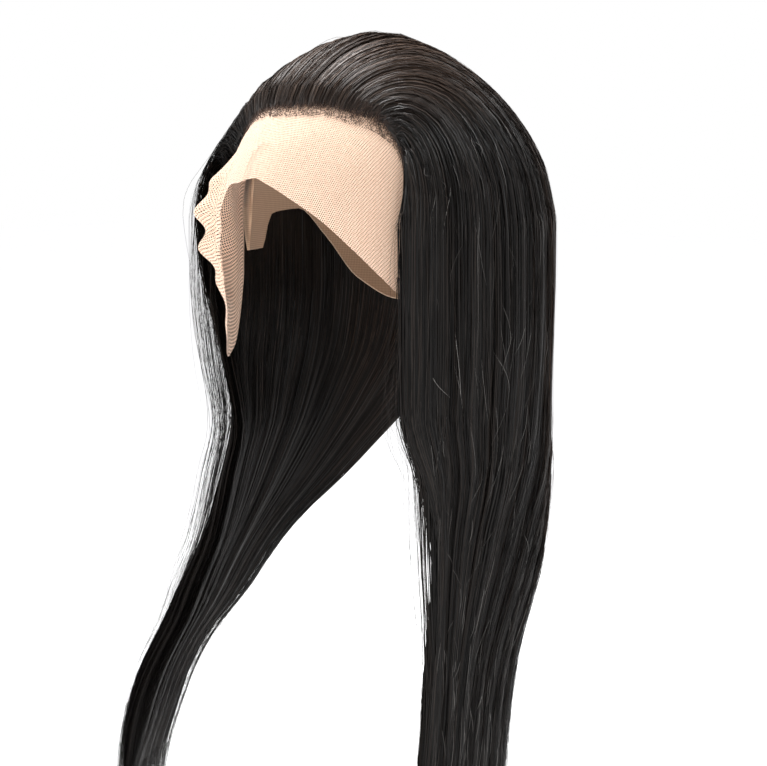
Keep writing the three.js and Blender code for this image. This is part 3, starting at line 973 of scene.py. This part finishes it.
def make_long_strands(name, third, low, high):
    n = STRANDS_A_SECTION
    share = chance.uniform(low, high, n)
    at_edge = EDGE_STRANDS.get(third, 0)
    edge = np.arange(n) < at_edge
    near = chance.random(at_edge) ** 1.3
    share[edge] = 0.05 * near - 0.004 if third == "front" else 1 - 0.045 * near
    at_hairline = (chance.random(n) < 0.5) | (edge & (third == "front"))
    from_edge = 0.001 + 0.0125 * chance.random(n) ** 1.2
    from_edge = np.where(edge, from_edge * 0.5, from_edge)
    root = station_after(name, share, from_edge)
    root = np.where(at_hairline, root, chance.uniform(0.05, 0.98, n))
    inside = (chance.random(n) < INNER_SHARE) & ~edge
    root = np.where(inside, chance.uniform(0.98, 1.2, n), root)
    last = LAST_STATION - SPREAD_OF_TIPS * chance.random(n) ** 1.7
    station, metres = even_stations(name, share, root, last, closer=1.5)
    depth = strand_depths(n, station, edge)
    column = nearest_column(share)[:, None]
    row = np.searchsorted(STATIONS, np.clip(station, 0, 1.999))
    whole = size_of(MAPS[name]["outer"] - MAPS[name]["inner"])[row, column]
    under = whole + chance.uniform(-0.0004, 0.0007, (n, 1))
    depth = np.where(inside[:, None], under, depth)
    start = np.where(inside, 1, np.where(at_hairline, 0.05, 0.72))[:, None]
    climb = np.where(at_hairline, 0.008, 0.07)[:, None]
    rise = mix(start, 1, ease(metres / climb))
    paths, out = strand_paths(name, share, station, depth, rise)
    label = f"{name}_{third}_strands"
    ribbons(label, paths, out, taper(n, STEPS, STRAND_WIDTH), strand_odds(n), twist=0.6)


for side_name in SIDES:
    for third, (low, high) in THIRDS.items():
        make_long_strands(side_name, third, low, high)

# %% [markdown]
# ## Flyaway strands
# No hair lies perfectly flat. Single strands stand off the outline, and on the hanging hair
# some cross the others at a slant and are painted pale, as painted glints.


# %% Flyaways
def make_flyaways(name, count, lift, drift, first, width, crowd=1.0):
    share = chance.random(count) ** crowd
    root = chance.uniform(*first, count)
    end = chance.uniform(1.2, 2, count)
    station = even_stations(name, share, root, np.maximum(end, root + 0.15))
    t = np.linspace(0, 1, STEPS)[None, :]
    most = lift * chance.uniform(0.1, 1, (count, 1)) ** 2.5
    away = most * mix(0.25, 1, ease((station - 0.6) / 0.5))
    bow = np.sin(np.pi * t ** chance.uniform(0.6, 1.6, (count, 1)))
    slide = chance.uniform(-drift, drift, (count, 1)) * ease(t)
    slide = slide + drift * 0.3 * np.sin(5 * t + 6 * chance.random((count, 1)))
    outer, inner, out = hair_at(name, np.clip(share[:, None] + slide, -0.03, 1), station)
    paths = outer + out * (away * bow - 0.0002)[..., None]
    width = taper(count, STEPS, width, root=0.3)
    ribbons(f"{name}_flyaways", paths, out, width, strand_odds(count), twist=1.4)


make_flyaways("left", 110, lift=0.0042, drift=0.05, first=(0.4, 1.5), width=0.00016)
make_flyaways("right", 260, lift=0.0098, drift=0.07, first=(0, 1.3), width=0.00017, crowd=2.0)

# %% [markdown]
# ## Wisps
# In front of the two front edges a few very fine hairs hang free and curve back into the hair.
# Each starts at the edge, bows forward by its own reach and comes back.


# %% Wisps in front of the front edges
def make_wisps(label, name, count, first=(0.85, 1.35), reach=0.105):
    share = chance.uniform(0, 0.03, count)
    root = chance.uniform(*first, count)
    end = np.minimum(root + chance.uniform(0.3, 0.9, count), 2)
    station = even_stations(name, share, root, end)
    t = np.linspace(0, 1, STEPS)[None, :]
    out_by = reach * chance.uniform(0.05, 1, (count, 1)) ** 1.6
    bow = np.sin(np.pi * t ** chance.uniform(0.7, 1.8, (count, 1)))
    bow = bow ** chance.uniform(1, 2, (count, 1))
    place = share[:, None] - out_by * bow + 0.004 * np.sin(9 * t + 240 * share[:, None])
    outer, inner, out = hair_at(name, place, station)
    room = size_of(outer - inner) - 0.0008
    depth = np.minimum(chance.uniform(0.001, 0.012, (count, 1)), room)
    width = taper(count, STEPS, 0.00013, root=0.3)
    odds = chance.uniform(0.7, 0.98, count)
    ribbons(label, outer - out * depth[..., None], out, width, odds, twist=1.4)


make_wisps("left_wisps", "left", 70)
make_wisps("left_temple_wisps", "left", 60, first=(0.1, 0.75), reach=0.045)
make_wisps("right_wisps", "right", 50)

# %% [markdown]
# ## Painted glints
# On straight dark hair short stretches of single hairs catch the light and show as pale slanted
# lines. Here that light is painted: they are short ribbons just above the outer face, painted pale
# grey by a chance number in the painted glint part of the strand finish.

# %% Single hairs painted pale, as painted glints
GLINT_STEPS = 8


def make_glints(name, count):
    share = chance.uniform(0.05, 0.97, count)
    root = chance.uniform(0.75, 1.9, count)
    end = np.minimum(root + chance.uniform(0.02, 0.1, count), 2)
    station = even_stations(name, share, root, end, GLINT_STEPS)
    t = np.linspace(0, 1, GLINT_STEPS)[None, :]
    slope = np.clip(chance.normal(0, 0.035, (count, 1)), -0.06, 0.06)
    slope = slope * mix(0.15, 1, ease((root - 0.75) / 0.35))[:, None]
    bend = chance.normal(0, 0.006, (count, 1))
    bend = bend * np.sin(np.pi * t ** chance.uniform(0.5, 2, (count, 1)))
    outer, inner, out = hair_at(name, np.clip(share[:, None] + slope * t + bend, 0, 1), station)
    above = chance.uniform(0.0, 0.0012, (count, 1)) * np.sin(np.pi * t) - 0.0004
    width = taper(count, GLINT_STEPS, 0.00016, root=0.2)
    # Painted highlight: these chance numbers paint the ribbons pale grey.
    odds = chance.uniform(PAINTED_GLINT_FROM + 0.001, 1, count)
    ribbons(f"{name}_glints", outer + out * above[..., None], out, width, odds, twist=0.8)


make_glints("left", 480)
make_glints("right", 260)

# %% [markdown]
# ## Baby hairs and knots
# At the hairline each hair is tied into the lace with a knot, seen as a tiny brown dot. Short
# fine hairs stand among the long ones, so that the hairline fades out instead of stopping at
# an edge. The knots are tiny beads of eight faces, and the short hairs are ribbons again.

# %% Baby hairs
BABY_HAIRS, BABY_STEPS = 1900, 6


def near_hairline(count, low, high, power):
    """Random places in a band along the hairline: side, share and metres behind it."""
    sides = chance.random(count) < 0.5
    share = chance.random(count) ** 1.25
    metres = low + (high - low) * chance.random(count) ** power
    return sides, share, metres


def make_baby_hairs():
    sides, share, metres = near_hairline(BABY_HAIRS, -0.003, 0.0075, 0.8)
    paths = np.empty((BABY_HAIRS, BABY_STEPS, 3))
    outs = np.empty_like(paths)
    t = np.linspace(0, 1, BABY_STEPS)[None, :]
    for name, pick in (("left", sides), ("right", ~sides)):
        n = pick.sum()
        length = chance.uniform(0.003, 0.009, n)
        root = station_after(name, share[pick], metres[pick])
        end = station_after(name, share[pick], metres[pick] + length)
        station = mix(root[:, None], end[:, None], t)
        lean = chance.uniform(-0.05, 0.05, (n, 1)) * t
        lean = lean + 0.02 * np.sin(3 * t + chance.uniform(0, 6, (n, 1)))
        place = np.clip(share[pick][:, None] + lean, 0, 1)
        outer, skin, out = hair_at(name, place, station)
        off = 0.0002 + chance.uniform(0.0003, 0.0016, (n, 1)) * t
        paths[pick] = skin + out * off[..., None]
        outs[pick] = out
    width = taper(BABY_HAIRS, BABY_STEPS, 0.0002, root=0.8)
    odds = chance.random(BABY_HAIRS)
    ribbons("baby_hairs", paths, outs, width, odds, twist=1.2, finish=hairline_finish)


make_baby_hairs()

# %% Knots
KNOTS = 2300
BEAD_CORNERS = np.array([(1, 0, 0), (0, 1, 0), (-1, 0, 0), (0, -1, 0), (0, 0, 1), (0, 0, -1)])
BEAD_FACES = np.array(
    [(0, 1, 4), (1, 2, 4), (2, 3, 4), (3, 0, 4), (1, 0, 5), (2, 1, 5), (3, 2, 5), (0, 3, 5)]
)


def make_knots():
    sides, share, metres = near_hairline(KNOTS, -0.0055, 0.005, 0.9)
    middle = np.empty((KNOTS, 3))
    for name, pick in (("left", sides), ("right", ~sides)):
        station = station_after(name, share[pick], metres[pick])
        middle[pick] = look_up(name, "inner", share[pick], station)
    size = chance.uniform(0.00022, 0.0004, (KNOTS, 1, 1))
    points = (middle[:, None, :] + BEAD_CORNERS[None] * size).reshape(-1, 3)
    faces = (np.arange(KNOTS)[:, None, None] * 6 + BEAD_FACES[None]).reshape(-1, 3)
    run = np.repeat(chance.uniform(0.3, 1, KNOTS), 6)
    run = np.stack([run, run * 0], -1)
    knots = make_piece("hairline_knots", points, faces, hairline_finish, run, smooth=False)
    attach(knots, "root")


make_knots()

# %% [markdown]
# ## The lace front
# The strip of lace starts under the front of the cap's hair, lies on the forehead and ends in a
# cut edge. That edge is slanted down to the ear on the wearer's left. On the wearer's right it
# hangs lower, stands off and ruffles. It is one thin sheet: a grid over the angle round the head
# and the length down the strip.

# %% Lace tables and sheet
LACE_LIFT, RUFFLE_START, RUFFLE_END = 0.0007, 0.05, 0.1
RUFFLE_HEIGHT, RUFFLE_WAVE, RUFFLE_PITCH = 0.0155, 0.0032, 0.021

# Angle round the head, angle down to the cap's edge
CAP_EDGE = np.array(
    [
        (0, 36), (30, 39), (50, 50), (66, 64), (67.5, 103), (77, 103),
        (86, 90), (100, 89), (112, 100), (125, 117), (145, 127), (180, 129),
    ]
)  # fmt: skip

# Angle round the head (the wearer's right is below 0), drop as a share of the head's height, lift
LACE_EDGE = np.array(
    [
        (-66.5, 1.38, 0), (-65, 1.5, 0), (-61, 1.68, 0), (-56, 1.82, 0.6),
        (-50, 1.87, 1), (-44, 1.82, 1), (-39.5, 1.6, 0.38), (-37, 1.1, 0.25),
        (-34, 0.84, 0.15), (-27, 0.79, 0.05),
        (-20, 0.78, 0), (-7, 0.75, 0), (0, 0.78, 0), (8, 0.83, 0), (22, 0.95, 0),
        (36, 1.14, 0), (46, 1.3, 0), (54, 1.42, 0), (65, 1.5, 0),
    ]
)  # fmt: skip


def on_head(degrees, down, off):
    t, u = np.radians(down), np.radians(degrees)
    size = HEAD + np.asarray(off)[..., None]
    way = np.stack([np.sin(t) * np.sin(u), -np.sin(t) * np.cos(u), np.cos(t)], -1)
    return way * size - np.array([0, 0, HEAD[2]])


def make_lace():
    columns, rows, half = 157, 72, -LACE_EDGE[0, 0]
    degrees, d = np.meshgrid(np.linspace(-half, half, columns), np.linspace(0, 1, rows))
    top = read(CAP_EDGE, DOWN, np.abs(degrees)) + 0.9
    edge = read(LACE_EDGE, DROP, degrees) * HEAD[2]
    arc = np.degrees(np.arccos(np.clip(1 - edge / HEAD[2], 0, 1)))
    over = np.radians(arc - top) * HEAD[1]
    below = np.maximum(0, edge - HEAD[2])
    run = d * (over + below)
    down = np.minimum(arc, top + (arc - top) * run / over)
    hang = np.maximum(0, run - over)
    points = on_head(degrees, down, LACE_LIFT * np.ones_like(d))
    points[..., 2] -= hang
    fallen = -points[..., 2]
    start = RUFFLE_START + 0.0035 * np.maximum(0, -degrees - 46)
    fade = mix(1, 0.1, ease((fallen - RUFFLE_END) / 0.045))
    lift = read(LACE_EDGE, LIFT, degrees) * ease((fallen - start) / 0.034) * fade
    wave = np.sin(2 * np.pi * (fallen - 0.076) / RUFFLE_PITCH + degrees * 0.05)
    frill = 0.22 * np.sin(2 * np.pi * fallen / 0.012 + degrees * 0.35) * ease((d - 0.6) / 0.4)
    waving = ease((fallen - 0.062) / 0.014)
    out = lift * (RUFFLE_HEIGHT + RUFFLE_WAVE * (wave + frill) * waving)
    ridge = np.abs(np.sin(0.075 * (degrees + 62 * d) + 0.6 * np.sin(0.11 * degrees - 5 * d)))
    crease = 0.0011 * (1 - ridge) ** 3 * np.exp(-(((degrees + 22) / 26) ** 2))
    out = out + (crease + 0.0002 * np.sin(0.3 * degrees + 9 * d)) * ease((d - 0.38) / 0.15)
    points[..., :2] += unit(points[..., :2]) * out[..., None]
    length = walked(points)
    across = np.radians(degrees) * (HEAD[0] + HEAD[1]) / 2
    uv = np.stack([across, length], -1).reshape(-1, 2)
    faces = grid_faces(rows, columns)
    lace = make_piece("lace_net", points.reshape(-1, 3), faces, lace_finish, uv)
    area = sum(p.area for p in lace.data.polygons)
    print("lace:", round(area * 1e4, 1), "square centimetres; longest cut", round(length.max(), 3))
    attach(lace, "root")
    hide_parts("lace_front")


make_lace()

# %% [markdown]
# ## The cap
# The cap is cut from stretch cloth to fit a head: low in front of the ears, higher over them and
# down to the nape. It is a dome of two layers, as thick as the solid that it stands for.


# %% Cap
def make_cap():
    columns, rows = 144, 26
    degrees, d = np.meshgrid(np.linspace(0, 360, columns + 1)[:-1], np.linspace(0.0, 1, rows))
    edge = read(CAP_EDGE, DOWN, np.where(degrees > 180, 360 - degrees, degrees))
    down = np.maximum(d, 0.002) * edge
    layers = [on_head(degrees, down, off * np.ones_like(d)) for off in (CAP_WALL, 0.0)]
    points = np.concatenate([layer.reshape(-1, 3) for layer in layers])
    row, column = np.arange(rows - 1)[:, None], np.arange(columns)[None, :]
    a, b = row * columns + column, row * columns + (column + 1) % columns
    outer = np.stack([a, a + columns, b + columns, b], -1).reshape(-1, 4)
    inner = outer[:, ::-1] + rows * columns
    last = (rows - 1) * columns + np.arange(columns)
    after = np.roll(last, -1)
    rim = np.stack([last, last + rows * columns, after + rows * columns, after], -1)
    faces = np.concatenate([outer, inner, rim])
    round_way = np.stack([np.radians(degrees) * 0.086, np.radians(down) * 0.09], -1)
    run = np.tile(round_way.reshape(-1, 2), (2, 1))
    cap = make_piece("cap_cloth", points, faces, cap_finish, run, crisp=True)
    area = sum(p.area for p in cap.data.polygons) / 2
    print("cap area:", round(area * 1e4, 1), "square centimetres")
    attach(cap, "root")
    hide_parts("cap")


make_cap()

# %% [markdown]
# ## Floor
# A wide pale floor lies well below the tips, so that the light comes back up softly. It glows,
# because lamps of this size would leave its far part grey.


# %% Floor
def make_floor():
    reach, z = 9.0, -0.75
    corners = [(-reach, -reach, z), (reach, -reach, z), (reach, reach, z), (-reach, reach, z)]
    finish, shader, start = new_finish("floor", Roughness=0.95, Specular_IOR_Level=0.1)
    grain = start.node("ShaderNodeTexNoise", Scale=40.0)
    shader.inputs["Emission Color"].default_value = (1, 1, 1, 1)
    shader.inputs["Emission Strength"].default_value = 0.72
    feed(finish, shader, Base_Color=grain.blend((0.84, 0.84, 0.84, 1), (0.88, 0.88, 0.88, 1)))
    floor = make_piece("floor", corners, np.array([[0, 1, 2, 3]]), finish, smooth=False)
    floor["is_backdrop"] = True


make_floor()

# %% [markdown]
# ## Sizes
# The finished model has to stay in the space of the solids, apart from the little that strands
# and cloth stand proud. How far the box of the dressed model goes past the box of the solids at
# each corner is printed.

# %% Print the boxes and finish
import json

low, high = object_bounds()
count = sum(len(p.vertices) - 2 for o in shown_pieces() for p in o.data.polygons)
print("triangles in all:", count)
for which, solids, dressed in (("low", cad_low, low), ("high", cad_high, high)):
    past = [round((b - a) * 1000, 1) for a, b in zip(solids, dressed)]
    print(f"{which} corner of the dressed box minus the solids', mm:", past)
